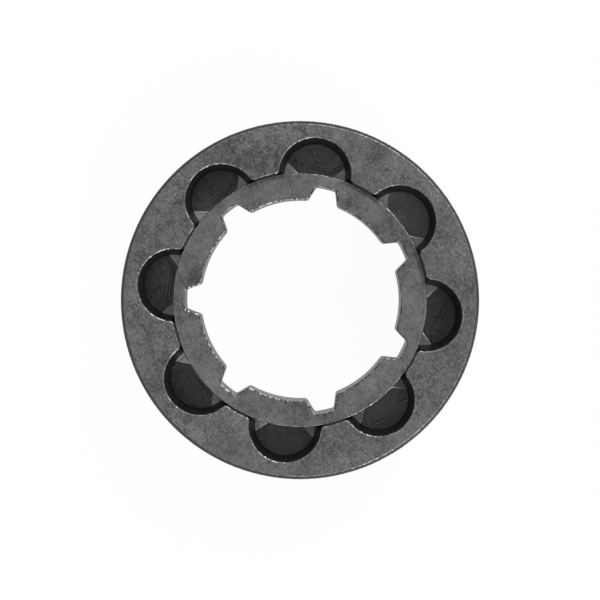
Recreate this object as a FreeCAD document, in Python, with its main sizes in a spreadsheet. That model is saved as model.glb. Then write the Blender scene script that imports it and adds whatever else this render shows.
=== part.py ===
import FreeCAD, Part
import math
import os
import Sketcher

# Rim sprocket of a chainsaw, in millimetres. A splined ring slides on the hub of a clutch drum, and
# the tangs of the chain run in the channel between its two rims, against the teeth in there.
# Frame: +Z is the ring's own axis and points out of the face with the windows. The origin is the
# centre of the plain rear face. The first window, gullet and spline slot all lie on +X.

# The driving dimensions: name, value and what it is. Angles are in degrees.
DIMENSIONS = (
    ("outer_diameter", 40.0, "across both rims"),
    ("overall_width", 14.0, "rear face to front face"),
    ("rear_rim", 5.6, "thickness of the closed rear rim"),
    ("channel_width", 2.8, "gap between the rims, which the chain's tangs run in"),
    ("channel_lip", 0.6, "bevel where the channel meets the outside of each rim"),
    ("edge_bevel", 0.35, "bevel on the outer corner of each rim"),
    ("tooth_count", 8, "teeth, gullets and windows round the ring"),
    ("tip_setback", 1.6, "how far the tips of the teeth lie inside the rims"),
    ("tip_width", 2.5, "width of a tooth at its tip"),
    ("tip_rounding", 0.4, "radius along the corners of a tip"),
    ("gullet_floor", 3.65, "width of a gullet at the hub ring, between its flanks"),
    ("window_wall", 1.81, "rim that is left outside a window, at the front face"),
    ("land_width", 3.06, "width of the land between two windows, at the hub ring"),
    ("window_draft", 6.5, "taper of a window's wall"),
    ("hub_wall", 1.3, "hub ring that is left outside the slots. It closes the windows"),
    ("hub_step", 0.4, "how far the hub ring lies below the front face"),
    ("crease_width", 0.16, "fine gap between the hub ring and the lands"),
    ("crease_depth", 0.3, "depth of that gap below the hub ring"),
    ("land_rounding", 0.4, "radius on the corners of the lands between windows"),
    ("bore_diameter", 22.5, "across the spline's lands"),
    ("spline_count", 7, "slots of the spline"),
    ("spline_depth", 1.62, "depth of a slot, from the bore"),
    ("spline_root_width", 2.2, "width of a slot at its bottom"),
    ("spline_flank", 19.5, "angle of a slot's flank from its own centre line"),
    ("spline_land_rounding", 0.5, "radius where a flank meets the bore"),
    ("spline_root_rounding", 0.3, "radius where a flank meets the slot's bottom"),
    ("edge_break", 0.15, "small bevel round the windows and both ends of the bore"),
)
# Two places that are closer than this are the same place.
NEAR = 1e-4


def make_sheet(doc):
    """The spreadsheet that holds every driving dimension under its own name."""
    sheet = doc.addObject("Spreadsheet::Sheet", "dims")
    for row, (name, value, meaning) in enumerate(DIMENSIONS, 1):
        sheet.set(f"A{row}", meaning)
        sheet.set(f"B{row}", str(value))
        sheet.setAlias(f"B{row}", name)
    doc.recompute()


# Sizes that follow from the driving dimensions, as expressions on the sheet. All but the heights
# are distances from the ring's axis.
OUTER = "(dims.outer_diameter / 2)"
TIP = f"({OUTER} - dims.tip_setback)"
BORE = "(dims.bore_diameter / 2)"
SLOT_ROOT = f"({BORE} + dims.spline_depth)"
HUB = f"({SLOT_ROOT} + dims.hub_wall)"
LAND_EDGE = f"({HUB} + dims.crease_width)"
# A tooth's flank runs from the hub ring to the side of its tip, half a pitch round less half the
# tip's width.
GULLET_SIDE = f"sqrt({HUB} ^ 2 - (dims.gullet_floor / 2) ^ 2)"
TIP_TURN = f"(180 deg / dims.tooth_count - asin(dims.tip_width / 2 / {TIP}))"
FLANK_RISE = f"({TIP} * sin({TIP_TURN}) - dims.gullet_floor / 2)"
FLANK_SLOPE = f"({FLANK_RISE} / ({TIP} * cos({TIP_TURN}) - {GULLET_SIDE}))"
# A window's circle passes through its outermost point, on X, and the two corners of its lands.
WINDOW_APEX = f"({OUTER} - dims.window_wall)"
LAND_TURN = f"(180 deg / dims.tooth_count - asin(dims.land_width / 2 / {HUB}))"
WINDOW_SPAN = f"({WINDOW_APEX} - {HUB} * cos({LAND_TURN}))"
WINDOW_CENTRE = f"(({WINDOW_APEX} ^ 2 - {HUB} ^ 2) / (2 * {WINDOW_SPAN}))"
WINDOW_MOUTH = f"({WINDOW_APEX} - {WINDOW_CENTRE})"
FRONT = "dims.overall_width"
HUB_FACE = f"({FRONT} - dims.hub_step)"
CREASE_FLOOR = f"({HUB_FACE} - dims.crease_depth)"
CHANNEL_REAR = "dims.rear_rim"
CHANNEL_FRONT = f"({CHANNEL_REAR} + dims.channel_width)"
FRONT_RIM = f"({FRONT} - {CHANNEL_FRONT})"


def origin_part(body, role):
    """One of the body's own origin planes or axes."""
    return next(part for part in body.Origin.OriginFeatures if part.Role == role)


def sketch_on(body, name, role, height=None):
    """An empty sketch on an origin plane of the body, raised along the plane's normal if asked."""
    sketch = body.newObject("Sketcher::SketchObject", name)
    sketch.AttachmentSupport = [(origin_part(body, role), "")]
    sketch.MapMode = "FlatFace"
    if height:
        sketch.setExpression(".AttachmentOffset.Base.z", height)
    return sketch


def value_of(sketch, expression):
    """What an expression on the sheet comes to, as a plain number."""
    return float(sketch.evalExpression(expression))


def bind(sketch, constraint, expression):
    """Adds a constraint and ties its size to an expression on the sheet."""
    index = sketch.addConstraint(constraint)
    sketch.setExpression(f"Constraints[{index}]", expression)


def pin(sketch, item, end, across=None, along=None):
    """Holds one end of a line or arc at distances from the sketch's origin."""
    for kind, expression in (("DistanceX", across), ("DistanceY", along)):
        if expression is not None:
            size = value_of(sketch, expression)
            bind(sketch, Sketcher.Constraint(kind, -1, 1, item, end, size), expression)


def join(sketch, item, end, other, other_end):
    """Puts two ends at the same point."""
    sketch.addConstraint(Sketcher.Constraint("Coincident", item, end, other, other_end))


def closed_outline(sketch, corners):
    """A closed run of straight lines through corners that are pairs of expressions."""
    points = [FreeCAD.Vector(value_of(sketch, x), value_of(sketch, y), 0) for x, y in corners]
    ends = points[1:] + points[:1]
    for start, end in zip(points, ends):
        sketch.addGeometry(Part.LineSegment(start, end))
    for item, (x, y) in enumerate(corners):
        join(sketch, item, 2, (item + 1) % len(corners), 1)
        pin(sketch, item, 1, x, y)


def arc_about_axis(sketch, radius, half_height):
    """An arc about the ring's axis, across +X, whose ends stand half_height to each side of X."""
    size = value_of(sketch, radius)
    angle = math.asin(value_of(sketch, half_height) / size)
    circle = Part.Circle(FreeCAD.Vector(0, 0, 0), FreeCAD.Vector(0, 0, 1), size)
    item = sketch.addGeometry(Part.ArcOfCircle(circle, -angle, angle))
    pin(sketch, item, 3, "0", "0")
    bind(sketch, Sketcher.Constraint("Radius", item, size), radius)
    pin(sketch, item, 1, along=f"-({half_height})")
    pin(sketch, item, 2, along=half_height)
    return item


def keystone(sketch, radius, half_width, slope, end):
    """An arc about the ring's axis with two straight flanks that run from its ends to a straight side.

    The flanks move apart by the slope on the way to the straight side, which stands across X at end.
    """
    arc = arc_about_axis(sketch, radius, half_width)
    corner_x = f"sqrt({radius} ^ 2 - ({half_width}) ^ 2)"
    far = f"{half_width} + abs({end} - {corner_x}) * {slope}"
    near_x, near_y = value_of(sketch, corner_x), value_of(sketch, half_width)
    far_x, far_y = value_of(sketch, end), value_of(sketch, far)
    low_near, low_far = FreeCAD.Vector(near_x, -near_y, 0), FreeCAD.Vector(far_x, -far_y, 0)
    top_near, top_far = FreeCAD.Vector(near_x, near_y, 0), FreeCAD.Vector(far_x, far_y, 0)
    low = sketch.addGeometry(Part.LineSegment(low_near, low_far))
    side = sketch.addGeometry(Part.LineSegment(low_far, top_far))
    top = sketch.addGeometry(Part.LineSegment(top_far, top_near))
    join(sketch, low, 1, arc, 1)
    join(sketch, side, 1, low, 2)
    join(sketch, top, 1, side, 2)
    join(sketch, top, 2, arc, 2)
    pin(sketch, low, 2, end, f"-({far})")
    pin(sketch, top, 1, end, far)


def turn(body, name, sketch):
    """A solid turned about the ring's axis from half its section."""
    solid = body.newObject("PartDesign::Revolution", name)
    solid.Profile = sketch
    solid.ReferenceAxis = (origin_part(body, "Z_Axis"), [""])
    solid.Angle = 360
    body.Tip = solid
    return solid


def ring_blank(body):
    """The turned blank: two rims, the channel between them, and the lower hub ring inside them."""
    sketch = sketch_on(body, "ring_section", "XZ_Plane")
    closed_outline(
        sketch,
        (
            (BORE, "0"),
            (f"{OUTER} - dims.edge_bevel", "0"),
            (OUTER, "dims.edge_bevel"),
            (OUTER, f"{CHANNEL_REAR} - dims.channel_lip"),
            (f"{OUTER} - dims.channel_lip", CHANNEL_REAR),
            (TIP, CHANNEL_REAR),
            (TIP, CHANNEL_FRONT),
            (f"{OUTER} - dims.channel_lip", CHANNEL_FRONT),
            (OUTER, f"{CHANNEL_FRONT} + dims.channel_lip"),
            (OUTER, f"{FRONT} - dims.edge_bevel"),
            (f"{OUTER} - dims.edge_bevel", FRONT),
            (LAND_EDGE, FRONT),
            (LAND_EDGE, CREASE_FLOOR),
            (HUB, CREASE_FLOOR),
            (HUB, HUB_FACE),
            (BORE, HUB_FACE),
        ),
    )
    return turn(body, "ring_blank", sketch)


def cut_window(body):
    """One window through the front rim, a cone that tapers down to the channel.

    It cuts into the hub ring too, which is made whole again after it.
    """
    window = body.newObject("PartDesign::SubtractiveCone", "window")
    window.AttachmentSupport = [(origin_part(body, "XY_Plane"), "")]
    window.MapMode = "FlatFace"
    window.setExpression(".AttachmentOffset.Base.x", WINDOW_CENTRE)
    window.setExpression(".AttachmentOffset.Base.z", CHANNEL_FRONT)
    window.setExpression("Height", FRONT_RIM)
    window.setExpression("Radius1", f"{WINDOW_MOUTH} - {FRONT_RIM} * tan(dims.window_draft * 1 deg)")
    window.setExpression("Radius2", WINDOW_MOUTH)
    body.Tip = window
    return window


def add_hub(body):
    """The hub ring, a plain turned ring that closes the inner side of every window."""
    sketch = sketch_on(body, "hub_section", "XZ_Plane")
    closed_outline(sketch, ((BORE, "0"), (HUB, "0"), (HUB, HUB_FACE), (BORE, HUB_FACE)))
    return turn(body, "hub_ring", sketch)


def cut_gullet(body):
    """One gullet in the channel, under its window. What stays between two gullets is a tooth.

    It cuts into the hub ring too, which is made whole again after it.
    """
    sketch = sketch_on(body, "gullet_outline", "XY_Plane", CHANNEL_FRONT)
    inside = f"{GULLET_SIDE} - dims.hub_wall / 2"
    narrow = f"dims.gullet_floor / 2 - dims.hub_wall / 2 * {FLANK_SLOPE}"
    wide = f"dims.gullet_floor / 2 + ({OUTER} - {GULLET_SIDE}) * {FLANK_SLOPE}"
    corners = ((inside, f"-({narrow})"), (OUTER, f"-({wide})"), (OUTER, wide), (inside, narrow))
    closed_outline(sketch, corners)
    gullet = body.newObject("PartDesign::Pocket", "gullet")
    gullet.Profile = sketch
    gullet.setExpression("Length", "dims.channel_width")
    body.Tip = gullet
    return gullet


def cut_slot(body):
    """One slot of the spline, from face to face. Its outline is closed inside the open bore."""
    sketch = sketch_on(body, "slot_outline", "XY_Plane", FRONT)
    inside = f"{BORE} - dims.spline_depth / 2"
    keystone(sketch, SLOT_ROOT, "dims.spline_root_width / 2", "tan(dims.spline_flank * 1 deg)", inside)
    slot = body.newObject("PartDesign::Pocket", "slot")
    slot.Profile = sketch
    slot.Type = "ThroughAll"
    body.Tip = slot
    return slot


def with_cuts(doc, body, name, cuts, count):
    """Makes each cut once and repeats them all, evenly spaced round the ring's axis.

    Every cut has to take material away, because one that points out of the solid shows no error.
    """
    features = []
    for cut in cuts:
        doc.recompute()
        before = body.Shape.Volume
        features.append(cut(body))
        doc.recompute()
        if not body.Shape.Volume < before:
            raise RuntimeError(f"{features[-1].Name} took nothing away")
    pattern = body.newObject("PartDesign::PolarPattern", name)
    pattern.Originals = features
    pattern.Axis = (origin_part(body, "Z_Axis"), [""])
    pattern.Angle = 360
    pattern.setExpression("Occurrences", count)
    body.Tip = pattern


def radius_at(point):
    """How far a point is from the ring's axis."""
    return math.hypot(point.x, point.y)


def upright_edges(shape, radius, low, high):
    """The names of the edges that rise between two heights at one distance from the ring's axis."""
    names = []
    for number, edge in enumerate(shape.Edges, 1):
        points = [vertex.Point for vertex in edge.Vertexes]
        heights = sorted(point.z for point in points)
        if len(points) == 2 and all(abs(radius_at(point) - radius) < NEAR for point in points):
            if abs(heights[0] - low) < NEAR and abs(heights[1] - high) < NEAR:
                names.append(f"Edge{number}")
    return names


def rim_edges(shape, height, inner, outer):
    """The names of the edges that lie flat at one height, within a band of distances from the axis."""
    names = []
    for number, edge in enumerate(shape.Edges, 1):
        box = edge.BoundBox
        middle = edge.valueAt((edge.FirstParameter + edge.LastParameter) / 2)
        if abs(box.ZMin - height) < NEAR and abs(box.ZMax - height) < NEAR:
            if inner - NEAR < radius_at(middle) < outer - NEAR:
                names.append(f"Edge{number}")
    return names


def dress(doc, body, kind, name, find, size):
    """A fillet or chamfer on the edges that find picks from the body as it stands."""
    doc.recompute()
    base = body.Tip
    edges = find(base.Shape)
    if not edges:
        raise RuntimeError(f"{name} finds no edge")
    feature = body.newObject(f"PartDesign::{kind}", name)
    feature.Base = (base, edges)
    feature.setExpression("Radius" if kind == "Fillet" else "Size", size)
    body.Tip = feature


def values_of(doc, *expressions):
    """What each of several expressions on the sheet comes to."""
    return [float(doc.dims.evalExpression(expression)) for expression in expressions]


def round_uprights(doc, body, name, radius, low, high, size):
    """Rounds the upright edges that stand at one distance from the axis, between two heights."""
    place = values_of(doc, radius, low, high)
    dress(doc, body, "Fillet", name, lambda shape: upright_edges(shape, *place), size)


def break_edges(doc, body, name, height, inner, outer):
    """Breaks the sharp edges that lie at one height, within a band of distances from the axis."""
    place = values_of(doc, height, inner, outer)
    dress(doc, body, "Chamfer", name, lambda shape: rim_edges(shape, *place), "dims.edge_break")


def make_sprocket(doc):
    """The whole ring, which is one piece."""
    body = doc.addObject("PartDesign::Body", "rim_sprocket")
    body.Label = "rim_sprocket"
    ring_blank(body)
    with_cuts(doc, body, "windows", (cut_window, cut_gullet), "dims.tooth_count")
    add_hub(body)
    with_cuts(doc, body, "spline", (cut_slot,), "dims.spline_count")
    round_uprights(doc, body, "tooth_tips", TIP, CHANNEL_REAR, CHANNEL_FRONT, "dims.tip_rounding")
    round_uprights(doc, body, "land_corners", LAND_EDGE, CREASE_FLOOR, FRONT, "dims.land_rounding")
    round_uprights(doc, body, "slot_roots", SLOT_ROOT, "0", HUB_FACE, "dims.spline_root_rounding")
    round_uprights(doc, body, "slot_mouths", BORE, "0", HUB_FACE, "dims.spline_land_rounding")
    break_edges(doc, body, "window_edges", FRONT, HUB, f"{OUTER} - dims.edge_bevel")
    break_edges(doc, body, "bore_front_edge", HUB_FACE, BORE, HUB)
    break_edges(doc, body, "bore_rear_edge", "0", BORE, HUB)
    body.Placement = FreeCAD.Placement()
    return body


def check(doc, bodies):
    """Stops the script where an object failed or a shape isn't one sound solid."""
    doc.recompute()
    for item in doc.Objects:
        if {"Invalid", "Error"} & set(item.State):
            raise RuntimeError(f"{item.Name} failed: {item.State}")
    for body in bodies:
        shape = body.Shape
        if shape.isNull() or not shape.isValid() or len(shape.Solids) != 1:
            raise RuntimeError(f"{body.Label} isn't one sound solid")


def main():
    doc = FreeCAD.newDocument("rim_sprocket")
    make_sheet(doc)
    bodies = [make_sprocket(doc)]
    check(doc, bodies)
    os.makedirs("parts", exist_ok=True)
    for body in bodies:
        body.Shape.exportStep(f"parts/{body.Label}.step")
        print(body.Label, round(body.Shape.Volume, 1), "mm3", body.Shape.BoundBox)


main()
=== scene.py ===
"""A chainsaw's rim sprocket, dressed for the studio: one cast ring that lies on its plain rear face.

Everything is in metres and in the part's own frame: +Z is the ring's axis and points out of the
face with the windows, and the first window and the first spline slot lie on +X.
"""

import math

import bmesh
import bpy
from mathutils import Matrix, Vector


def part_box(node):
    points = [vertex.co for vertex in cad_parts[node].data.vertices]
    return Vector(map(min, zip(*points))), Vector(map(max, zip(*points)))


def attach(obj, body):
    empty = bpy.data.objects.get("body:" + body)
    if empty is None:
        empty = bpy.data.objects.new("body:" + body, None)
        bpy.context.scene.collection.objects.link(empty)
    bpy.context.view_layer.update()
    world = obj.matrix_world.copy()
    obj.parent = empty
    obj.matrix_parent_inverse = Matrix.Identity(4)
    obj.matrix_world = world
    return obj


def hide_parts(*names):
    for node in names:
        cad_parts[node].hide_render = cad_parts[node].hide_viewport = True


bl_info = {
    "name": "Rim Sprocket",
    "version": (1, 0, 0),
    "blender": (4, 5, 0),
    "location": "View3D > Sidebar > Rim Sprocket",
    "description": "Dresses a cast rim sprocket and lights it for a picture",
    "category": "Object",
}

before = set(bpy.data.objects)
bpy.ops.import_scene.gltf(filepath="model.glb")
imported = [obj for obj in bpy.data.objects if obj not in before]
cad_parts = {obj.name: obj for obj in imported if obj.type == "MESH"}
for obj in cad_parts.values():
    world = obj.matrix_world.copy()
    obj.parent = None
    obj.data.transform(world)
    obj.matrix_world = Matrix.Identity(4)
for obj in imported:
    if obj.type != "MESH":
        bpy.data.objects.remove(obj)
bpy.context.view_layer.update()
NODE = "rim_sprocket"
BODY = "root"
RING_LOW, RING_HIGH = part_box(NODE)
MM = 0.001
FULL_TURN = 2 * math.pi
# Points that are closer than this are one point.
SAME_PLACE = 0.003 * MM
# Facets across a rounded corner of an outline.
CORNER_STEPS = 8
# The share of a step by which the first facet of a turned solid starts past +X. No facet ends then
# at the corner of a land, which would split the corner.
FIRST_STEP = 0.1
# How far the rounding of a land's corner runs on into the crease, so that it meets the land's side
# in one clean edge.
INTO_CREASE = 0.015 * MM
# How far the discs run past each other where they are joined or cut, and how far the teeth run into
# the front rim.
OVERLAP = 1 * MM
TOOTH_OVERLAP = 0.03 * MM
# Faces that meet at less than the first angle count as one flat face, and an edge is sharp from the
# second on.
FLAT_ANGLE = math.radians(0.5)
SHARP_ANGLE = math.radians(25)
# Half the width of the soft change where a material changes from place to place.
CRISP = 0.03 * MM
SOFT = 0.05 * MM
BROAD = 0.1 * MM
# Distances from the axis between which the painted shade deepens on a gullet's floor, and between
# which the darker lands give way to the rim outside them.
FLOOR_SHADE_SPAN = (14.5 * MM, 17.8 * MM)
LAND_FADE_SPAN = (17.2 * MM, 18.6 * MM)
# How far inside the hub ring's edge the painted shadow beside the crease starts, and where it is
# full.
PAINTED_SHADOW_SPAN = (0.65 * MM, 0.25 * MM)
NOISE_ROUGHNESS = 0.55


def length(name, millimetres, description):
    """A property that holds a length, in metres."""
    return bpy.props.FloatProperty(
        name=name,
        description=description,
        default=millimetres * MM,
        min=0.0,
        precision=5,
        unit="LENGTH",
    )


def count(name, number, description):
    """A property that holds a whole number."""
    return bpy.props.IntProperty(name=name, description=description, default=number, min=1)


def share(name, number, description):
    """A property that holds a plain number."""
    return bpy.props.FloatProperty(name=name, description=description, default=number, min=0.0)


def angle(name, degrees, description):
    """A property that holds an angle."""
    return bpy.props.FloatProperty(
        name=name,
        description=description,
        default=math.radians(degrees),
        subtype="ANGLE",
    )


def colour(name, value, description):
    """A property that holds a colour."""
    return bpy.props.FloatVectorProperty(
        name=name,
        description=description,
        default=value,
        size=3,
        min=0.0,
        max=1.0,
        subtype="COLOR",
    )


class RingSizes(bpy.types.PropertyGroup):
    """The ring's own sizes. Its outer radius and its width come from the frame."""

    rear_rim: length("Rear Rim", 5.6, "Thickness of the closed rear rim")
    channel: length("Channel", 2.8, "Width of the channel between the rims")
    channel_lip: length("Channel Lip", 0.6, "Bevel where the channel meets the outside")
    edge_bevel: length("Edge Bevel", 0.35, "Bevel on the outer corner of each rim")
    teeth: count("Teeth", 8, "Teeth, gullets and windows")
    tip_setback: length("Tip Setback", 1.6, "How far the teeth stay inside the rims")
    tip_width: length("Tip Width", 2.5, "Width of a tooth at its tip")
    tip_rounding: length("Tip Rounding", 0.4, "Radius along a tip's corners")
    gullet_floor: length("Gullet Floor", 3.65, "Width of a gullet at the hub ring")
    window_wall: length("Window Wall", 1.81, "Rim left outside a window")
    window_draft: angle("Window Draft", 6.5, "Taper of a window's wall")
    land_rounding: length("Land Rounding", 0.55, "Radius on the corners of the lands")
    land_width: length("Land Width", 3.06, "Land between two windows, at the hub ring")
    hub_wall: length("Hub Wall", 1.3, "Hub ring outside the slots")
    hub_step: length("Hub Step", 0.4, "How far the hub ring lies below the front face")
    crease_width: length("Crease Width", 0.16, "Gap between the hub ring and the lands")
    crease_depth: length("Crease Depth", 0.3, "Depth of that gap")
    bore_radius: length("Bore Radius", 11.25, "From the axis to the spline's lands")
    slots: count("Slots", 7, "Slots of the spline")
    slot_depth: length("Slot Depth", 1.62, "Depth of a slot")
    slot_width: length("Slot Width", 2.2, "Width of a slot at its bottom")
    slot_flank: angle("Slot Flank", 19.5, "Lean of a slot's flank from its centre line")
    mouth_rounding: length("Mouth Rounding", 0.5, "Radius where a slot opens into the bore")
    root_rounding: length("Root Rounding", 0.3, "Radius in a slot's corners")
    steps: count("Steps", 256, "Flats round the ring")
    window_steps: count("Window Steps", 120, "Flats round a window")


class EdgeSizes(bpy.types.PropertyGroup):
    """How much the edges of the casting are worn round."""

    window: length("Window Edge", 0.15, "Radius round a window, at the front face")
    bore: length("Bore Edge", 0.15, "Radius at both ends of the bore")
    land: length("Land Edge", 0.15, "Radius along the crease, on the lands")
    crease: length("Crease Edge", 0.09, "Radius along the crease, on the hub ring")
    hub: length("Hub Edge", 0.12, "Radius along the windows, on the hub ring")
    outer: length("Outer Edge", 0.07, "Radius on both sides of the outer bevels")
    gullet: length("Gullet Edge", 0.25, "Radius along the teeth, as seen through a window")
    fine: length("Fine Edge", 0.04, "Radius on every other edge")
    segments: count("Segments", 3, "Facets across a rounding")


class MarkSizes(bpy.types.PropertyGroup):
    """The marks that the mould left."""

    ridge: length("Ridge", 0.13, "Radius of a ridge, which is half sunk in the floor")
    spacing: length("Spacing", 0.15, "Distance between the points along a ridge")


class SteelLook(bpy.types.PropertyGroup):
    """The colours and the skin of the cast steel."""

    dark: colour("Dark Skin", (0.022, 0.022, 0.022), "The skin in its darkest spots")
    light: colour("Light Skin", (0.11, 0.109, 0.109), "The skin in its lightest spots")
    tint: colour("Tint", (0.078, 0.069, 0.070), "Faint reddish tint in the skin")
    # Painted glints: fine light specks in the skin.
    speck: colour("Specks", (0.22, 0.22, 0.22), "Fine bright specks in the skin")
    worn_dark: colour("Worn Edge, Dark", (0.07, 0.07, 0.07), "An edge with skin left on it")
    # Wear and painted glints: the light colour of rubbed edges, shown mostly on the edges that face
    # the side lamps.
    worn_light: colour("Worn Edge, Light", (0.66, 0.66, 0.66), "An edge that is rubbed bright")
    # Painted glints on the teeth's edges that face the side lamps.
    deep_edge: colour("Tooth Edge", (0.9, 0.9, 0.9), "The bright edges of the teeth")
    # Dark colour of the bore's edges; on those facing away from the side lamps it stands for their
    # shade.
    bore_dark: colour("Bore Edge, Dark", (0.025, 0.025, 0.025), "The bore's edge, with scale on it")
    # Wear and painted glints on the bore's edges, shown mostly where they face the side lamps.
    bore_light: colour("Bore Edge, Light", (0.85, 0.85, 0.85), "The bore's edge, rubbed bright")
    # Painted shade: the near-black colour painted inside the windows and beside the crease.
    scale: colour("Dark Scale", (0.012, 0.012, 0.012), "The dark scale inside the windows")
    # Painted light with bare-steel patches, on the teeth, their ledges, the ridges and the floor near
    # the hub.
    bare: colour("Bare Steel", (0.3, 0.3, 0.3), "Bare places on the teeth and their gullets")
    # Painted shade on the outer bevels.
    band: colour("Outer Band", (0.034, 0.034, 0.035), "The darker outer bevels")
    # Painted shadow: the side of the ring on which shade is painted on the hub ring beside the
    # crease.
    soot_side: angle("Soot Side", -73.2, "Side on which soot lies beside the crease, from +X")
    rough_side: angle("Rough Side", 12.0, "Side on which the skin is roughest, from +X")
    dull_side: angle("Dull Side", -158.2, "Side on which the skin is smooth and dull, from +X")
    # The glints are painted on the edges whose normals face these two directions, those of the side
    # lamps.
    worn_side: angle("Worn Side", -130.2, "Middle of the side that the bright edges face, from +X")
    worn_spread: angle("Worn Spread", 64.0, "From there to each of the two brightest directions")
    grain: length("Grain", 0.2, "Size of the cast grain")
    relief: length("Relief", 0.05, "Depth of the cast grain")
    metallic: share("Metallic", 0.4, "How much the skin shines as bare metal does")
    roughness: share("Roughness", 0.42, "Roughness of the skin")


class StageLook(bpy.types.PropertyGroup):
    """The floor, the lamps and the camera."""

    floor: colour("Floor", (0.9, 0.9, 0.9), "The pale floor")
    floor_glow: share("Floor Glow", 0.97, "Share of the floor's white that no shadow darkens")
    ambient: share("Ambient", 0.12, "Strength of the light from all round")
    key: share("Key", 4.0, "Power of the large lamp overhead, in watts")
    rims: share("Side Lamps", 4.0, "Power of each of the two side lamps, in watts")
    distance: length("Distance", 570.0, "From the front face to the camera")
    view_width: length("View Width", 66.9, "Width of the picture at the front face")
    aim: length("Aim", 0.02, "How far above the ring's middle the picture's middle lies")
    roll: angle("Roll", 128.2, "Turn of the ring's +X from the picture's right side")
    tilt: angle("Tilt", 0.38, "Lean of the camera away from the ring's axis")
    tilt_side: angle("Tilt Side", 84.0, "Side of the picture that the camera leans to")


def ring_sizes():
    """The ring's sizes, with those that follow from them, as plain numbers."""
    sizes = bpy.context.scene.ring_sizes
    ring = {name: getattr(sizes, name) for name in RingSizes.__annotations__}
    reach = min(RING_HIGH.x, RING_HIGH.y, -RING_LOW.x, -RING_LOW.y)
    ring["outer"] = reach
    ring["front"] = RING_HIGH.z
    ring["tip"] = reach - ring["tip_setback"]
    ring["slot_root"] = ring["bore_radius"] + ring["slot_depth"]
    ring["hub"] = ring["slot_root"] + ring["hub_wall"]
    ring["land_edge"] = ring["hub"] + ring["crease_width"]
    ring["hub_face"] = ring["front"] - ring["hub_step"]
    ring["crease_floor"] = ring["hub_face"] - ring["crease_depth"]
    ring["channel_front"] = ring["rear_rim"] + ring["channel"]
    land_turn = math.pi / ring["teeth"] - math.asin(ring["land_width"] / 2 / ring["hub"])
    apex = reach - ring["window_wall"]
    span = apex - ring["hub"] * math.cos(land_turn)
    ring["window_centre"] = (apex ** 2 - ring["hub"] ** 2) / (2 * span)
    ring["window_mouth"] = apex - ring["window_centre"]
    return type("Ring", (), ring)


def at(radius, turn):
    """The point at a distance and a turn from the axis."""
    return Vector((radius * math.cos(turn), radius * math.sin(turn)))


def arc(centre, start, end, steps):
    """Points along an arc, the short way from start to end, with both ends."""
    spoke = start - centre
    turn = (end - centre).angle_signed(spoke)
    turns = [Matrix.Rotation(turn * step / steps, 2) for step in range(steps + 1)]
    return [centre + spin @ spoke for spin in turns]


def first_reach(start, heading, distance):
    """How far to go from start to be at a distance from the axis."""
    middle = start.dot(heading)
    half = math.sqrt(middle ** 2 - start.length_squared + distance ** 2)
    return min(travel for travel in (-middle - half, -middle + half) if travel > 0)


def pitch_outline(repeats, root, mouth, corner, heading, root_rounding, mouth_rounding, steps):
    """One pitch of a toothed outline: a gap on +X between the halves of its two neighbours.

    The gap's bottom is at the root's distance from the axis, and what stands between two gaps ends
    at the mouth's. A straight flank leaves the bottom at the corner along the heading.
    """
    outward = 1 if mouth > root else -1
    into_gap = Vector((heading.y, -heading.x)) * outward
    start = corner + into_gap * root_rounding
    root_centre = start + heading * first_reach(start, heading, root + outward * root_rounding)
    start = corner - into_gap * mouth_rounding
    mouth_centre = start + heading * first_reach(start, heading, mouth - outward * mouth_rounding)
    root_end = root_centre.normalized() * root
    mouth_end = mouth_centre.normalized() * mouth
    axis = Vector((0, 0))
    root_steps = max(2, round(steps * root_end.angle(Vector((1, 0))) / FULL_TURN))
    far = at(mouth, math.pi / repeats)
    mouth_steps = max(2, round(steps * mouth_end.angle(far) / FULL_TURN))
    half = arc(axis, Vector((root, 0)), root_end, root_steps)
    half += arc(root_centre, root_end, root_centre - into_gap * root_rounding, CORNER_STEPS)
    half += arc(mouth_centre, mouth_centre + into_gap * mouth_rounding, mouth_end, CORNER_STEPS)
    half += arc(axis, mouth_end, far, mouth_steps)
    mirrored = [Vector((point.x, -point.y)) for point in half[:0:-1]]
    return mirrored + half


def link(made):
    """Puts a new object into the scene."""
    bpy.context.scene.collection.objects.link(made)
    return made


def mesh_object(name, bm):
    """An object at the origin that holds a finished bmesh."""
    mesh = bpy.data.meshes.new(name)
    bm.to_mesh(mesh)
    bm.free()
    return link(bpy.data.objects.new(name, mesh))


def turned(name, section, steps):
    """A solid turned about the axis from a closed half section of radii and heights."""
    bm = bmesh.new()
    rings = []
    for step in range(steps):
        turn = FULL_TURN * (step + FIRST_STEP) / steps
        rings.append([bm.verts.new((*at(radius, turn), height)) for radius, height in section])
    for here, there in zip(rings, rings[1:] + rings[:1]):
        for low in range(len(section)):
            high = (low + 1) % len(section)
            bm.faces.new((here[low], there[low], there[high], here[high]))
    bmesh.ops.recalc_face_normals(bm, faces=bm.faces)
    return mesh_object(name, bm)


def polyline(name, points):
    """A mesh of edges only, through flat points."""
    bm = bmesh.new()
    verts = [bm.verts.new((*point, 0)) for point in points]
    for here, there in zip(verts, verts[1:]):
        bm.edges.new((here, there))
    bmesh.ops.remove_doubles(bm, verts=bm.verts, dist=SAME_PLACE)
    return mesh_object(name, bm)


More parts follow.
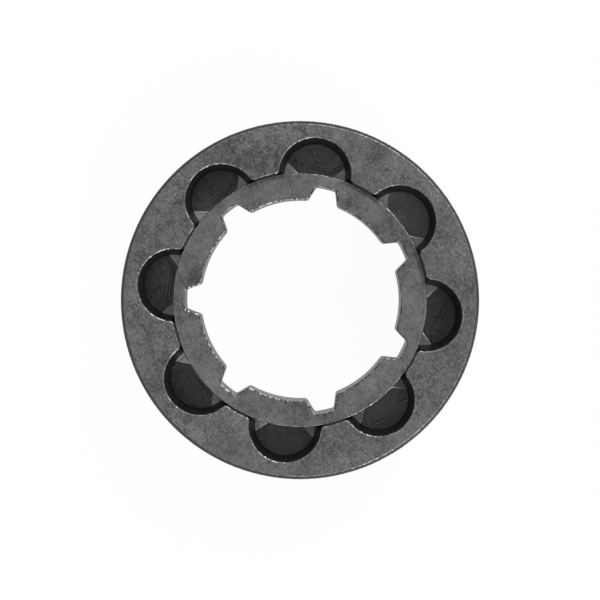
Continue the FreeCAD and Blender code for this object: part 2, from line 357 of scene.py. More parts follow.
class Number:
    """A number in a node tree. Sums and products of it add the tree's Math nodes."""

    def __init__(self, graph, socket):
        self.graph = graph
        self.socket = socket

    def math(self, operation, *terms):
        """The result of one Math node."""
        node = self.graph.add("ShaderNodeMath", {"operation": operation}, dict(enumerate(terms)))
        return Number(self.graph, node.outputs[0])

    def __add__(self, other):
        return self.math("ADD", self, other)

    def __sub__(self, other):
        return self.math("SUBTRACT", self, other)

    def __rsub__(self, other):
        return self.math("SUBTRACT", other, self)

    def __mul__(self, other):
        return self.math("MULTIPLY", self, other)

    def __truediv__(self, other):
        return self.math("DIVIDE", self, other)

    def __rtruediv__(self, other):
        return self.math("DIVIDE", other, self)

    def __pow__(self, other):
        return self.math("POWER", self, other)

    def above(self, level, softness):
        """1 where the number is above a level and 0 where it is below, with a soft change."""
        return self.between(level - softness, level + softness)

    def between(self, low, high):
        """0 at the low value and 1 at the high one, smooth between them."""
        node = self.graph.add(
            "ShaderNodeMapRange",
            {"interpolation_type": "SMOOTHSTEP"},
            {"Value": self, "From Min": low, "From Max": high},
        )
        return Number(self.graph, node.outputs[0])

    __radd__ = __add__
    __rmul__ = __mul__


class Graph:
    """The nodes of one material, world or Geometry Nodes tree."""

    def __init__(self, tree):
        self.tree = tree
        tree.nodes.clear()

    def add(self, kind, settings=(), inputs=()):
        """One node, with its settings first and then what goes into its sockets."""
        node = self.tree.nodes.new(kind)
        for name, value in dict(settings).items():
            setattr(node, name, value)
        for name, value in dict(inputs).items():
            for entry in value if isinstance(value, list) else [value]:
                self.feed(node.inputs[name], entry)
        return node

    def feed(self, socket, value):
        """Links a socket, or sets it where the value is a plain one."""
        if isinstance(value, Number):
            value = value.socket
        if isinstance(value, bpy.types.NodeSocket):
            self.tree.links.new(value, socket)
        else:
            socket.default_value = value

    def number(self, kind, settings=(), inputs=(), output=0):
        """The number that comes out of a node."""
        return Number(self, self.add(kind, settings, inputs).outputs[output])


def geometry_tree(name, inputs):
    """A Geometry Nodes tree with named inputs. Gives its graph and its inputs' sockets by name."""
    tree = bpy.data.node_groups.new(name, "GeometryNodeTree")
    tree.interface.new_socket("Geometry", in_out="INPUT", socket_type="NodeSocketGeometry")
    tree.interface.new_socket("Geometry", in_out="OUTPUT", socket_type="NodeSocketGeometry")
    for label, kind in inputs.items():
        tree.interface.new_socket(label, in_out="INPUT", socket_type=f"NodeSocket{kind}")
    graph = Graph(tree)
    given = graph.add("NodeGroupInput")
    return graph, given.outputs


def end_tree(graph, geometry, material):
    """Ends a tree in Realize Instances and Set Material."""
    real = graph.add("GeometryNodeRealizeInstances", inputs={"Geometry": geometry})
    inputs = {"Geometry": real.outputs[0], "Material": material}
    coated = graph.add("GeometryNodeSetMaterial", inputs=inputs)
    graph.add("NodeGroupOutput", inputs={"Geometry": coated.outputs[0]})
    return graph.tree


def round_axis(graph, geometry, repeats):
    """Instances of a geometry, evenly spaced round the axis."""
    points = graph.add("GeometryNodePoints", inputs={"Count": repeats})
    index = graph.number("GeometryNodeInputIndex")
    turn = index * FULL_TURN / Number(graph, repeats)
    spin = graph.add("ShaderNodeCombineXYZ", inputs={"Z": turn})
    inputs = {"Points": points.outputs[0], "Instance": geometry, "Rotation": spin.outputs[0]}
    return graph.add("GeometryNodeInstanceOnPoints", inputs=inputs).outputs[0]


def moved(graph, geometry, x=0.0, z=0.0):
    """A geometry moved along X and Z."""
    by = graph.add("ShaderNodeCombineXYZ", inputs={"X": x, "Z": z}).outputs[0]
    inputs = {"Geometry": geometry, "Translation": by}
    return graph.add("GeometryNodeTransform", inputs=inputs).outputs[0]


def joined(graph, *geometries):
    """Several geometries as one, with the points that coincide merged."""
    parts = graph.add("GeometryNodeJoinGeometry", inputs={0: list(geometries)})
    inputs = {"Geometry": parts.outputs[0], "Distance": SAME_PLACE}
    return graph.add("GeometryNodeMergeByDistance", inputs=inputs).outputs[0]


def toothed_disc_tree():
    """Repeats one pitch of an outline round the axis, and makes a disc of it between two heights."""
    kinds = {"Repeats": "Int", "Low": "Float", "High": "Float", "Material": "Material"}
    graph, given = geometry_tree("Toothed Disc", kinds)
    turns = round_axis(graph, given["Geometry"], given["Repeats"])
    real = graph.add("GeometryNodeRealizeInstances", inputs={"Geometry": turns}).outputs[0]
    outline = graph.add("GeometryNodeMeshToCurve", inputs={"Mesh": joined(graph, real)}).outputs[0]
    fill = graph.add("GeometryNodeFillCurve", {"mode": "NGONS"}, {"Curve": outline}).outputs[0]
    low = moved(graph, fill, z=Number(graph, given["Low"]))
    rise = Number(graph, given["High"]) - Number(graph, given["Low"])
    up = graph.add("ShaderNodeCombineXYZ", inputs={"Z": rise}).outputs[0]
    inputs = {"Mesh": low, "Offset": up, "Individual": False}
    top = graph.add("GeometryNodeExtrudeMesh", {"mode": "FACES"}, inputs).outputs[0]
    under = graph.add("GeometryNodeFlipFaces", inputs={"Mesh": low}).outputs[0]
    return end_tree(graph, joined(graph, top, under), given["Material"])


def boolean(graph, operation, first, *others):
    """One Mesh Boolean node."""
    inputs = {"Mesh 2": list(others)}
    if first:
        inputs["Mesh 1"] = first
    settings = {"operation": operation, "solver": "EXACT"}
    return graph.add("GeometryNodeMeshBoolean", settings, inputs).outputs[0]


def object_in(graph, given):
    """The geometry of an object that a tree is given."""
    return graph.add("GeometryNodeObjectInfo", inputs={"Object": given}).outputs["Geometry"]


def ring_tree():
    """Cuts the windows into the front rim, joins the other discs to it, and cuts the splined bore."""
    kinds = {
        "Windows": "Int",
        "Window": "Object",
        "Rear Rim": "Object",
        "Teeth": "Object",
        "Hub": "Object",
        "Bore": "Object",
        "Material": "Material",
    }
    graph, given = geometry_tree("Rim Sprocket", kinds)
    windows = round_axis(graph, object_in(graph, given["Window"]), given["Windows"])
    rim = boolean(graph, "DIFFERENCE", given["Geometry"], windows)
    discs = [object_in(graph, given[name]) for name in ("Rear Rim", "Teeth", "Hub")]
    whole = boolean(graph, "UNION", None, rim, *discs)
    bored = boolean(graph, "DIFFERENCE", whole, object_in(graph, given["Bore"]))
    return end_tree(graph, bored, given["Material"])


def grown(host, tree, values):
    """Runs a tree on an object, with its inputs by name, and gives the plain mesh that it makes."""
    modifier = host.modifiers.new(tree.name, "NODES")
    modifier.node_group = tree
    for item in tree.interface.items_tree:
        if item.in_out == "INPUT" and item.name in values:
            modifier[item.identifier] = values[item.name]
    bpy.context.view_layer.update()
    shown = host.evaluated_get(bpy.context.evaluated_depsgraph_get())
    mesh = bpy.data.meshes.new_from_object(shown)
    host.modifiers.remove(modifier)
    return mesh


def settle(host, mesh):
    """Gives an object a new mesh and removes the old one."""
    old = host.data
    host.data = mesh
    bpy.data.meshes.remove(old)


def toothed_disc(name, outline, repeats, low, high, steel):
    """A disc with a toothed outline, between two heights."""
    disc = polyline(name, outline)
    values = {"Repeats": repeats, "Low": low, "High": high, "Material": steel}
    settle(disc, grown(disc, bpy.data.node_groups["Toothed Disc"], values))
    return disc


def tooth_outline(ring):
    """One pitch of the teeth in the channel, with the gullet on +X. Its bottom is inside the hub."""
    half = ring.gullet_floor / 2
    beside_hub = Vector((math.sqrt(ring.hub ** 2 - half ** 2), half))
    tip_turn = math.pi / ring.teeth - math.asin(ring.tip_width / 2 / ring.tip)
    heading = (at(ring.tip, tip_turn) - beside_hub).normalized()
    root = ring.hub - ring.hub_wall / 2
    corner = beside_hub - heading * first_reach(beside_hub, -heading, root)
    rounding = (ring.root_rounding, ring.tip_rounding)
    return pitch_outline(ring.teeth, root, ring.tip, corner, heading, *rounding, ring.steps)


def spline_outline(ring):
    """One pitch of the splined bore, with the slot on +X."""
    half = ring.slot_width / 2
    corner = Vector((math.sqrt(ring.slot_root ** 2 - half ** 2), half))
    heading = Vector((-math.cos(ring.slot_flank), math.sin(ring.slot_flank)))
    rounding = (ring.root_rounding, ring.mouth_rounding)
    bore = ring.bore_radius
    return pitch_outline(ring.slots, ring.slot_root, bore, corner, heading, *rounding, ring.steps)


def window_outline(ring):
    """The outline of a window at the front face, with the rounded corners of its two lands."""
    centre = Vector((ring.window_centre, 0))
    far = ring.window_mouth + ring.land_rounding
    near = ring.land_edge + ring.land_rounding - INTO_CREASE
    x = (near ** 2 - far ** 2 + centre.x ** 2) / (2 * centre.x)
    corner = Vector((x, math.sqrt(near ** 2 - x ** 2)))
    on_window = centre + (corner - centre).normalized() * ring.window_mouth
    on_crease = corner.normalized() * (ring.land_edge - INTO_CREASE)
    apex = centre + Vector((ring.window_mouth, 0))
    half = arc(centre, apex, on_window, round(ring.window_steps / 3))
    half += arc(corner, on_window, on_crease, CORNER_STEPS)[1:]
    half.append(corner.normalized() * (ring.hub - ring.hub_wall / 4))
    return half + [Vector((point.x, -point.y)) for point in half[:0:-1]]


def window_cutter(ring):
    """The solid that cuts one window, on +X. It tapers towards the channel."""
    centre = Vector((ring.window_centre, 0))
    taper = math.tan(ring.window_draft) / ring.window_mouth
    bm = bmesh.new()
    loops = []
    for height in (ring.channel_front - OVERLAP, ring.front + OVERLAP):
        size = 1 + (height - ring.front) * taper
        places = [centre + (point - centre) * size for point in window_outline(ring)]
        loops.append([bm.verts.new((*place, height)) for place in places])
    bm.faces.new(loops[0][::-1])
    bm.faces.new(loops[1])
    for here in range(len(loops[0])):
        there = here - 1
        bm.faces.new((loops[0][there], loops[0][here], loops[1][here], loops[1][there]))
    bmesh.ops.recalc_face_normals(bm, faces=bm.faces)
    return mesh_object("window", bm)


def ring_discs(ring, steel):
    """The solids that the ring is joined and cut from, and which are gone once it is made."""
    inside = ring.bore_radius / 2
    lip, bevel, outer = ring.channel_lip, ring.edge_bevel, ring.outer
    front_rim = (
        (inside, ring.channel_front),
        (outer - lip, ring.channel_front),
        (outer, ring.channel_front + lip),
        (outer, ring.front - bevel),
        (outer - bevel, ring.front),
        (ring.land_edge, ring.front),
        (ring.land_edge, ring.crease_floor),
        (inside, ring.crease_floor),
    )
    rear_rim = (
        (inside, 0.0),
        (outer - bevel, 0.0),
        (outer, bevel),
        (outer, ring.rear_rim - lip),
        (outer - lip, ring.rear_rim),
        (inside, ring.rear_rim),
    )
    low, high = OVERLAP, ring.hub_face
    hub = ((inside - OVERLAP, low), (ring.hub, low), (ring.hub, high), (inside - OVERLAP, high))
    tooth_top = ring.channel_front + TOOTH_OVERLAP
    tooth_low = ring.rear_rim - OVERLAP
    teeth, slots = tooth_outline(ring), spline_outline(ring)
    return {
        "Front Rim": turned("front_rim", front_rim, ring.steps),
        "Rear Rim": turned("rear_rim", rear_rim, ring.steps),
        "Hub": turned("hub_ring", hub, ring.steps),
        "Teeth": toothed_disc("teeth", teeth, ring.teeth, tooth_low, tooth_top, steel),
        "Bore": toothed_disc("bore", slots, ring.slots, -OVERLAP, ring.front + OVERLAP, steel),
        "Window": window_cutter(ring),
    }


class AddRing(bpy.types.Operator):
    """Adds the ring, from its discs, with its windows, teeth and splined bore"""

    bl_idname = "rim_sprocket.add_ring"
    bl_label = "Add Ring"

    def execute(self, context):
        ring = ring_sizes()
        toothed_disc_tree()
        steel = cast_steel(context.scene.steel_look, ring)
        discs = ring_discs(ring, steel)
        made = discs.pop("Front Rim")
        values = {"Windows": ring.teeth, "Material": steel, **discs}
        settle(made, grown(made, ring_tree(), values))
        made.name = "cast_ring"
        for disc in discs.values():
            bpy.data.meshes.remove(disc.data)
        # The second material holds the worn edges and their painted glints.
        made.data.materials.append(worn_steel_and_painted_glints(context.scene.steel_look, ring))
        dress_edges(made, context.scene.edge_sizes, ring)
        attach(made, BODY)
        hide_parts(NODE)
        return {"FINISHED"}


def in_window(edge, ring):
    """Whether an edge lies within a window, seen along the axis."""
    middle = (edge.verts[0].co + edge.verts[1].co) / 2
    pitch = FULL_TURN / ring.teeth
    turn = math.remainder(math.atan2(middle.y, middle.x), pitch)
    return (at(middle.xy.length, turn) - Vector((ring.window_centre, 0))).length < ring.window_mouth


def rounding_of(edge, edges, ring):
    """The radius that the casting has along an edge, by where the edge is."""
    low, high = sorted(vert.co.z for vert in edge.verts)
    distance = max(vert.co.xy.length for vert in edge.verts)
    if distance > ring.outer - 1.5 * ring.edge_bevel:
        return edges.outer
    if abs(high - ring.crease_floor) < SAME_PLACE:
        return 0.0
    if high - low > SAME_PLACE:
        return edges.fine
    if abs(high - ring.front) < SAME_PLACE:
        return edges.land if distance < ring.land_edge + SAME_PLACE else edges.window
    if abs(high - ring.hub_face) < SAME_PLACE:
        if distance < ring.hub - SAME_PLACE:
            return edges.bore
        return edges.hub if in_window(edge, ring) else edges.crease
    if abs(high - ring.channel_front) < 2 * TOOTH_OVERLAP:
        return edges.gullet
    return edges.bore if high < SAME_PLACE else edges.fine


def dress_edges(made, edges, ring):
    """Rounds the edges of the casting, each by its own radius, and shades the rest smooth."""
    bm = bmesh.new()
    bm.from_mesh(made.data)
    bmesh.ops.remove_doubles(bm, verts=bm.verts, dist=SAME_PLACE)
    limits = {"angle_limit": FLAT_ANGLE, "delimit": {"NORMAL"}}
    bmesh.ops.dissolve_limit(bm, verts=bm.verts, edges=bm.edges, **limits)
    weights = bm.edges.layers.float.new("bevel_weight_edge")
    largest = max(edges.window, edges.gullet)
    for edge in bm.edges:
        turn = edge.calc_face_angle_signed(0.0)
        edge.smooth = abs(turn) < SHARP_ANGLE
        if turn > SHARP_ANGLE:
            edge[weights] = rounding_of(edge, edges, ring) / largest
    for face in bm.faces:
        face.smooth = True
    bm.to_mesh(made.data)
    bm.free()
    bevel = made.modifiers.new("Worn Edges", "BEVEL")
    bevel.limit_method = "WEIGHT"
    bevel.width = largest
    bevel.segments = edges.segments
    bevel.use_clamp_overlap = False
    bevel.harden_normals = True
    # The rounded faces take the worn steel with its painted glints.
    bevel.material = made.data.materials.find("Worn Steel")


def noise_maker(graph):
    """The object's own coordinates, and a function that gives noise of a size in metres on them."""
    place = graph.add("ShaderNodeTexCoord").outputs["Object"]

    def noise(size, detail=2.0):
        inputs = {"Vector": place, "Scale": 1 / size, "Detail": detail, "Roughness": NOISE_ROUGHNESS}
        return graph.number("ShaderNodeTexNoise", inputs=inputs)

    return place, noise


def from_axis(graph, place):
    """The distance from the axis, the turn about it and the height, as numbers."""
    parts = graph.add("ShaderNodeSeparateXYZ", inputs={0: place}).outputs
    x, y = Number(graph, parts["X"]), Number(graph, parts["Y"])
    across = x ** 2 + y ** 2
    return across.math("SQRT", across), y.math("ARCTAN2", y, x), Number(graph, parts["Z"])


def toward(turn, side):
    """1 for a turn about the axis that is at a side, 0 for the turns well away from it."""
    away = turn - side
    return away.math("COSINE", away).between(0.1, 0.9)


def blend(graph, factor, first, second):
    """A colour between two others."""
    inputs = {"Factor": factor, 6: first, 7: second}
    return graph.add("ShaderNodeMix", {"data_type": "RGBA"}, inputs).outputs[2]


def on_shadowed_side(turn, look, ring):
    """1 beside the lands on the side of the ring where a shadow is painted beside the crease, and 0
    elsewhere.
    """
    pitch = turn * ring.teeth
    beside_land = (0.0 - pitch.math("COSINE", pitch)).between(-0.1, 0.5)
    return beside_land * toward(turn, look.soot_side)


# Dark spots painted on the front face as the shade of dents, which the mesh doesn't have: the
# distance of their middle from the axis, its turn from +X, their radius and how much darker they are.
# A window cuts the first off to a half-moon.
DENT_SHADE_SPOTS = (
    (15.3 * MM, math.radians(-29.9), 0.72 * MM, 0.42),
    (17.5 * MM, math.radians(-71.5), 0.13 * MM, 0.6),
    (17.35 * MM, math.radians(-71.8), 0.12 * MM, 0.6),
)


def cast_steel(look, ring):
    """The cast steel: a grainy matt skin, with painted shade inside the windows and on the outer
    bevels.
    """
    steel = bpy.data.materials.new("Cast Steel")
    steel.use_nodes = True
    graph = Graph(steel.node_tree)
    place, noise = noise_maker(graph)
    distance, turn, height = from_axis(graph, place)
    grain = noise(look.grain, 4.0)
    pits = noise(look.grain * 1.8)
    spots = noise(look.grain * 3)
    clouds = noise(look.grain * 9)
    patches = noise(look.grain * 30)
    # Painted glints as sparse light specks.
    glint_specks = noise(look.grain * 0.9, 1.0).between(0.6, 0.8)
    # Where a place is: on the hub ring, on an outer bevel, and within a window, where it lies on a
    # ledge under the front rim, on the window's wall, or raised above the gullet's floor.
    hub = (1 - distance.above(ring.hub, SOFT)) * height.above(ring.crease_floor, SOFT)
    bevel = distance.above(ring.outer - ring.edge_bevel, CRISP)
    within = (1 - bevel) * distance.above(ring.hub - SOFT, SOFT)
    below = 1 - height.above(ring.front - 0.25 * MM, 0.15 * MM)
    ledge = height.above(ring.channel_front - 0.1 * MM, SOFT)
    wall = height.above(ring.channel_front + 0.15 * MM, SOFT)
    raised = height.above(ring.rear_rim + 0.25 * MM, 0.08 * MM)
    dull = toward(turn, look.dull_side) * (1 - hub)
    deep = within * below
    # Painted shade inside a window, darkest on its walls and towards its outer end, and painted light
    # on the teeth, their ledges, the ridges and the floor near the hub, with bare-steel patches.
    outward = distance.between(*FLOOR_SHADE_SPAN)
    floor_shade = outward * 0.85 + (patches - 0.5) * 0.8 - 0.3 + dull * 0.25
    crease = 1 - distance.above(ring.land_edge + 0.1 * MM, SOFT)
    scale = deep * (wall * (0.95 - crease * 0.6) + (1 - wall) * floor_shade)
    # Painted light on a window's floor near the hub, away from the shade of its walls.
    painted_floor_light = within * (patches.between(0.4, 0.7) * 0.25 + 0.1) * (1 - outward) * (1 - raised)
    ridge = height.above(ring.rear_rim + 0.05 * MM, CRISP)
    # Painted light on the teeth, their ledges and the ridges; the patches below give bare steel.
    bright = raised * 0.4 + ridge * 0.35 + ledge * 0.2 - wall
    bare = within * bright * (patches * 1.2 + 0.3) + painted_floor_light
    bare = bare * (1 - dull * 0.6)
    # How light the skin is, from fine grain to wide clouds, with the painted shadow beside the crease
    # and the painted shade of the dents on it.
    coarse = noise(look.grain * 50, 1.0).between(0.35, 0.6) * (1 - hub * 0.6)
    rough_side = toward(turn, look.rough_side) * (1 - hub) * 0.45
    fine = (grain - 0.5) * 1.6 + (pits - 0.5) * 0.85 + (spots - 0.5) * 0.65
    wide = (clouds - 0.5) * 0.95 + (patches - 0.5) * 1.1
    wide = wide * (1.1 - dull * 0.45)
    lands = distance.above(ring.hub, SOFT) * (1 - distance.between(*LAND_FADE_SPAN))
    coarseness = (0.7 + coarse * 0.5 + rough_side) * (1 - deep * 0.4)
    mottle = fine * coarseness + wide * (1 - deep * 0.5) + 0.465 - lands * 0.11
    shadow_start, shadow_full = (ring.hub - reach for reach in PAINTED_SHADOW_SPAN)
    inside_crease = distance.between(shadow_start, shadow_full) * hub
    # Painted shadow on the hub ring beside the crease, on one side of the ring.
    painted_shadow = inside_crease * on_shadowed_side(turn, look, ring)
    # Painted shade of the dents.
    for reach, spot_turn, radius, depth in DENT_SHADE_SPOTS:
        inputs = {0: place, 1: (*at(reach, spot_turn), ring.front)}
        off = graph.number("ShaderNodeVectorMath", {"operation": "DISTANCE"}, inputs, "Value")
        mottle = mottle - (1 - off.above(radius, CRISP)) * depth
    mottled = blend(graph, mottle, (*look.dark, 1), (*look.light, 1))
    skin = blend(graph, painted_shadow, mottled, (*look.scale, 1))
    tinted = blend(graph, spots.between(0.45, 0.7) * 0.4, skin, (*look.tint, 1))
    # Painted shade inside the windows.
    recess_shaded = blend(graph, scale, tinted, (*look.scale, 1))
    # Painted shade on the outer bevels.
    bevel_shaded = blend(graph, bevel * 0.75, recess_shaded, (*look.band, 1))
    # Painted light in the windows, with bare-steel patches.
    lit_and_bare = blend(graph, bare, bevel_shaded, (*look.bare, 1))
    base = blend(graph, glint_specks * (1 - scale) * 0.4, lit_and_bare, (*look.speck, 1))
    relief = (grain + spots * 1.5) * (0.5 + coarse)
    bump_inputs = {"Strength": 1.0, "Distance": look.relief, "Height": relief}
    bump = graph.add("ShaderNodeBump", inputs=bump_inputs)
    shader_inputs = {
        "Base Color": base,
        "Metallic": look.metallic,
        "Roughness": grain * 0.2 + (look.roughness - 0.1),
        "Specular IOR Level": 0.3,
        "Normal": bump.outputs[0],
    }
    shader = graph.add("ShaderNodeBsdfPrincipled", inputs=shader_inputs)
    graph.add("ShaderNodeOutputMaterial", inputs={"Surface": shader.outputs[0]})
    return steel


def worn_steel_and_painted_glints(look, ring):
    """The edges: patches of wear, with light painted as glints on those that face the two side lamps,
    while the others stay dark; the teeth's edges get painted glints too, and those beside the crease
    a painted shadow.
    """
    steel = bpy.data.materials.new("Worn Steel")
    steel.use_nodes = True
    graph = Graph(steel.node_tree)
    place, noise = noise_maker(graph)
    distance, turn, height = from_axis(graph, place)
    grain = noise(look.grain)
    patchy = noise(look.grain * 8).between(0.22, 0.5)
    outside = distance.above(ring.slot_root + ring.hub_wall / 2, BROAD)
    rim = distance.above(ring.outer - 2 * ring.edge_bevel, BROAD)
    # Patches of wear on the edges.
    rubbed_and_glinting = noise(look.grain * 1.5).between(0.42, 0.64) * patchy.math("MAXIMUM", patchy, rim)
    deep = 1 - height.above(ring.channel_front + 0.5 * MM, BROAD)
    normal = graph.add("ShaderNodeTexCoord").outputs["Normal"]
    sides = []
    for side in (look.worn_side - look.worn_spread, look.worn_side + look.worn_spread):
        inputs = {0: normal, 1: (math.cos(side), math.sin(side), 0)}
        settings = {"operation": "DOT_PRODUCT"}
        sides.append(graph.number("ShaderNodeVectorMath", settings, inputs, "Value"))
    # The edges that face the side lamps, where glints are painted.
    facing_lamps = sides[0].math("MAXIMUM", *sides).between(0.33, 0.6)
    # Painted shadow on the edges beside the crease, on the same side, which also dims their glints.
    at_crease = 1 - distance.above(ring.land_edge + 0.25 * MM, BROAD)
    at_crease = at_crease * outside * on_shadowed_side(turn, look, ring)
    painted_shadow = at_crease * (1 - distance.above(ring.hub + 0.05 * MM, CRISP)) * 0.6
    # Glints painted on the edges that face the side lamps, and wear on the rest.
    rubbed_and_glinting = rubbed_and_glinting * (1 - rim * 0.5) * (facing_lamps * 0.85 + 0.15) * (1 - at_crease * 0.6)
    dark = blend(graph, outside, (*look.bore_dark, 1), (*look.worn_dark, 1))
    light = blend(graph, outside, (*look.bore_light, 1), (*look.worn_light, 1))
    edge = blend(graph, rubbed_and_glinting, dark, light)
    # Painted glints on the teeth's edges that face the side lamps.
    edge = blend(graph, deep * facing_lamps, edge, (*look.deep_edge, 1))
    bump_inputs = {"Strength": 1.0, "Distance": look.relief * 0.6, "Height": grain}
    bump = graph.add("ShaderNodeBump", inputs=bump_inputs)
    shader_inputs = {
        "Base Color": blend(graph, painted_shadow, edge, (*look.scale, 1)),
        "Metallic": 1 - deep * 0.6,
        "Roughness": 0.4 - rubbed_and_glinting * 0.1,
        "Normal": bump.outputs[0],
    }
    shader = graph.add("ShaderNodeBsdfPrincipled", inputs=shader_inputs)
    graph.add("ShaderNodeOutputMaterial", inputs={"Surface": shader.outputs[0]})
    return steel


def seen_directly(graph):
    """1 for the rays that show a white background: the camera's, and those of gloss and glass."""
    ray = graph.add("ShaderNodeLightPath").outputs
    camera = Number(graph, ray["Is Camera Ray"])
    either = camera.math("MAXIMUM", camera, ray["Is Glossy Ray"])
    return either.math("MAXIMUM", either, ray["Is Transmission Ray"])


def white_world(look):
    """A world that looks white, and lights the object evenly from all round."""
    world = bpy.data.worlds.new("Studio")
    world.use_nodes = True
    bpy.context.scene.world = world
    graph = Graph(world.node_tree)
    seen = seen_directly(graph)
    strength = seen + (1 - seen) * look.ambient
    light = graph.add("ShaderNodeBackground", inputs={"Color": (1, 1, 1, 1), "Strength": strength})
    graph.add("ShaderNodeOutputWorld", inputs={"Surface": light.outputs[0]})


def floor_finish(look):
    """A white floor that still takes a faint shadow."""
    finish = bpy.data.materials.new("Studio Floor")
    finish.use_nodes = True
    graph = Graph(finish.node_tree)
    matt = graph.add("ShaderNodeBsdfDiffuse", inputs={"Color": (*look.floor, 1)})
    glow = graph.add("ShaderNodeEmission", inputs={"Color": (1, 1, 1, 1), "Strength": 1.0})
    share_of_glow = seen_directly(graph) * look.floor_glow
    inputs = {0: share_of_glow, 1: matt.outputs[0], 2: glow.outputs[0]}
    mixed = graph.add("ShaderNodeMixShader", inputs=inputs)
    graph.add("ShaderNodeOutputMaterial", inputs={"Surface": mixed.outputs[0]})
    return finish


def looking(location, target, up):
    """The placing of a lamp or camera that looks at a target."""
    back = (location - target).normalized()
    right = up.cross(back).normalized()
    turn = Matrix((right, back.cross(right), back)).transposed()
    return Matrix.Translation(location) @ turn.to_4x4()


# The ridges that the mould left on the floors of the gullets, in millimetres: the number of the
# window, counted from +X, and points by their distance from the axis and their place across.
RIDGES = (
    (0, (15.95, 3.15), (15.3, 1.95), (15.22, 0.0), (15.3, -1.95), (15.9, -2.9)),
    (0, (15.75, 3.3), (15.05, 2.1), (14.98, 0.0), (15.05, -2.1), (15.6, -2.9)),
    (0, (15.4, 3.35), (14.85, 2.3), (14.75, 0.6), (14.75, -1.0), (14.85, -2.2)),
    (1, (15.6, 3.0), (15.15, 1.6), (15.0, 0.0), (15.1, -1.6), (15.6, -3.0)),
    (1, (15.1, 3.0), (14.8, 1.5), (14.72, 0.0), (14.8, -1.5), (15.15, -2.6)),
    (1, (17.0, 0.5), (16.4, 0.45), (16.0, 0.5)),
    (2, (15.35, 2.9), (15.0, 1.7), (14.85, 0.4), (14.9, -0.8)),
    (2, (15.0, 3.0), (14.72, 1.9), (14.6, 0.8)),
    (4, (16.4, 2.75), (16.25, 2.1), (16.0, 1.3)),
    (4, (15.2, 3.3), (15.55, 2.1), (15.7, 1.6)),
    (4, (16.6, -0.8), (16.3, -1.8), (16.1, -2.4)),
    (5, (17.0, -0.4), (16.6, -0.35), (16.1, -0.15), (15.5, -0.2)),
    (5, (16.25, 1.3), (16.1, 0.6), (15.95, 0.0)),
    (5, (15.1, -2.1), (15.4, -2.7), (15.75, -3.3)),
    (7, (17.2, 0.45), (16.4, 0.35), (15.9, 0.3), (15.4, 0.45), (14.5, 0.35)),
    (7, (16.2, 0.1), (15.85, 0.0), (15.7, -0.3), (15.8, -0.65)),
    (7, (15.2, 0.3), (15.15, -1.0), (15.3, -2.2), (16.2, -3.0)),
    (7, (14.95, 0.3), (14.9, -1.2), (15.05, -2.3), (15.5, -2.9)),
    (7, (16.8, -2.45), (15.7, -2.5)),
)
RIDGE_SIDES = 8
# A ridge's thickness at its very ends, squared, as a share of its middle's.
RIDGE_END = 0.15


def ridge_tree():
    """Draws a smooth ridge along each run of edges, thinner towards its ends."""
    kinds = {"Radius": "Float", "Spacing": "Float", "Material": "Material"}
    graph, given = geometry_tree("Cast Ridges", kinds)
    runs = graph.add("GeometryNodeMeshToCurve", inputs={"Mesh": given["Geometry"]}).outputs[0]
    kind = {"spline_type": "CATMULL_ROM"}
    smooth = graph.add("GeometryNodeCurveSplineType", kind, {"Curve": runs}).outputs[0]
    inputs = {"Curve": smooth, "Length": given["Spacing"]}
    even = graph.add("GeometryNodeResampleCurve", {"mode": "LENGTH"}, inputs).outputs[0]
    along = graph.number("GeometryNodeSplineParameter")
    swell = along * (1 - along) * 4
    swell = swell.math("MAXIMUM", swell, RIDGE_END)
    inputs = {"Resolution": RIDGE_SIDES, "Radius": 1.0}
    circle = graph.add("GeometryNodeCurvePrimitiveCircle", inputs=inputs).outputs[0]
    radius = swell ** 0.5 * given["Radius"]
    inputs = {"Curve": even, "Profile Curve": circle, "Scale": radius, "Fill Caps": True}
    tube = graph.add("GeometryNodeCurveToMesh", inputs=inputs).outputs[0]
    return end_tree(graph, tube, given["Material"])


class AddMarks(bpy.types.Operator):
    """Adds the fine ridges that the mould left on the floors of the gullets"""

    bl_idname = "rim_sprocket.add_marks"
    bl_label = "Add Casting Marks"

    def execute(self, context):
        ring = ring_sizes()
        marks = context.scene.mark_sizes
        bm = bmesh.new()
        for window, *points in RIDGES:
            spin = Matrix.Rotation(FULL_TURN * window / ring.teeth, 2)
            places = [spin @ Vector(point) * MM for point in points]
            verts = [bm.verts.new((*place, ring.rear_rim)) for place in places]
            for here, there in zip(verts, verts[1:]):
                bm.edges.new((here, there))
        made = mesh_object("casting_marks", bm)
        steel = bpy.data.materials["Cast Steel"]
        values = {"Radius": marks.ridge, "Spacing": marks.spacing, "Material": steel}
        settle(made, grown(made, ridge_tree(), values))
        made.data.shade_smooth()
        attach(made, BODY)
        return {"FINISHED"}


# The floor's radius and sides, and how far it lies under the rear face, so that the two never share
# a plane.
FLOOR_RADIUS = 4.0
FLOOR_SIDES = 64
FLOOR_GAP = 0.05 * MM
# The lamps: how far each one is to the picture's right and up from the ring's middle, its height
# above the front face and its width, in metres, and the setting that holds its power.
LAMPS = (
    ("Overhead", 0.12, 0.12, 0.8, 1.4, "key"),
    ("Upper Right", 0.28, 0.5, 0.56, 0.38, "rims"),
    ("Lower Right", 0.28, -0.5, 0.56, 0.38, "rims"),
)
# The camera's sensor in millimetres, and the nearest and farthest that it sees, in metres.
SENSOR_WIDTH = 36.0
CLIP_SPAN = (0.01, 10.0)


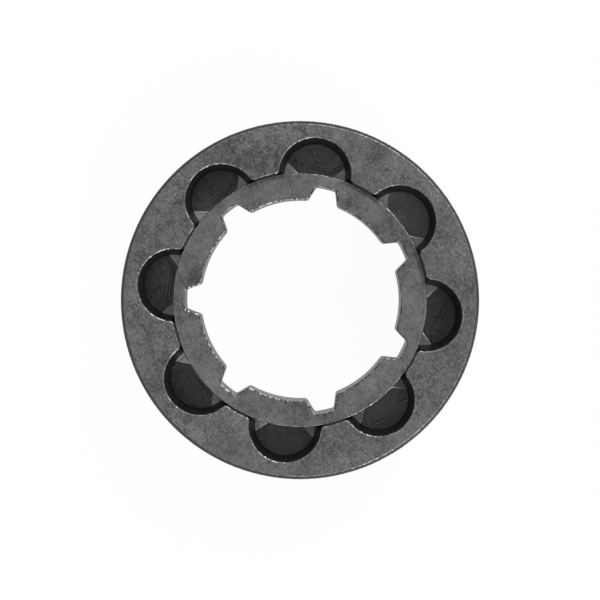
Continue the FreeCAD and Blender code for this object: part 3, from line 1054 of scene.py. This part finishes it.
class AddStage(bpy.types.Operator):
    """Adds the pale floor, the lamps, the white world and the camera"""

    bl_idname = "rim_sprocket.add_stage"
    bl_label = "Add Stage"

    def execute(self, context):
        look = context.scene.stage_look
        scene = context.scene
        scene.view_settings.view_transform = "Standard"
        white_world(look)
        bm = bmesh.new()
        under = Matrix.Translation((0, 0, -FLOOR_GAP))
        circle = {"radius": FLOOR_RADIUS, "segments": FLOOR_SIDES, "matrix": under}
        bmesh.ops.create_circle(bm, cap_ends=True, **circle)
        floor = mesh_object("floor", bm)
        floor.data.materials.append(floor_finish(look))
        right = Vector((math.cos(-look.roll), math.sin(-look.roll), 0))
        up = Vector((-right.y, right.x, 0))
        middle = Vector((0, 0, RING_HIGH.z))
        self.add_lamps(look, middle, right, up)
        self.add_camera(look, middle, right, up)
        return {"FINISHED"}

    def add_lamps(self, look, middle, right, up):
        """A large soft lamp overhead, and two smaller ones to the picture's right."""
        for name, x, y, height, size, power in LAMPS:
            lamp = bpy.data.lights.new(name, "AREA")
            lamp.shape = "DISK"
            lamp.size = size
            lamp.energy = getattr(look, power)
            placed = link(bpy.data.objects.new(name, lamp))
            place = middle + right * x + up * y + Vector((0, 0, height))
            placed.matrix_world = looking(place, middle, up)

    def add_camera(self, look, middle, right, up):
        """The camera, nearly on the ring's axis."""
        lens = bpy.data.cameras.new("Camera")
        camera = link(bpy.data.objects.new("Camera", lens))
        lens.sensor_width = SENSOR_WIDTH
        lens.lens = SENSOR_WIDTH * look.distance / look.view_width
        side = right * math.cos(look.tilt_side) + up * math.sin(look.tilt_side)
        target = middle + up * look.aim
        lean = side * math.sin(look.tilt) + Vector((0, 0, math.cos(look.tilt)))
        camera.matrix_world = looking(target + lean * look.distance, target, up)
        lens.clip_start, lens.clip_end = CLIP_SPAN
        bpy.context.scene.camera = camera


class RingPanel(bpy.types.Panel):
    """Lists the ring's sizes, its finish and the stage"""

    bl_idname = "VIEW3D_PT_rim_sprocket"
    bl_label = "Rim Sprocket"
    bl_space_type = "VIEW_3D"
    bl_region_type = "UI"
    bl_category = "Rim Sprocket"

    def draw(self, context):
        for name, group in GROUPS.items():
            box = self.layout.box()
            for entry in group.__annotations__:
                box.prop(getattr(context.scene, name), entry)
        for operator in OPERATORS:
            self.layout.operator(operator.bl_idname)


GROUPS = {
    "ring_sizes": RingSizes,
    "edge_sizes": EdgeSizes,
    "mark_sizes": MarkSizes,
    "steel_look": SteelLook,
    "stage_look": StageLook,
}
OPERATORS = (AddRing, AddMarks, AddStage)
CLASSES = (*GROUPS.values(), *OPERATORS, RingPanel)


def register():
    """Makes the classes and the scene's settings known."""
    for entry in CLASSES:
        bpy.utils.register_class(entry)
    for name, group in GROUPS.items():
        setattr(bpy.types.Scene, name, bpy.props.PointerProperty(type=group))


def unregister():
    """Takes the classes and the scene's settings away again."""
    for name in GROUPS:
        delattr(bpy.types.Scene, name)
    for entry in reversed(CLASSES):
        bpy.utils.unregister_class(entry)


def main():
    """Makes every piece and the stage."""
    register()
    bpy.ops.rim_sprocket.add_ring()
    bpy.ops.rim_sprocket.add_marks()
    bpy.ops.rim_sprocket.add_stage()


if __name__ == "__main__":
    main()
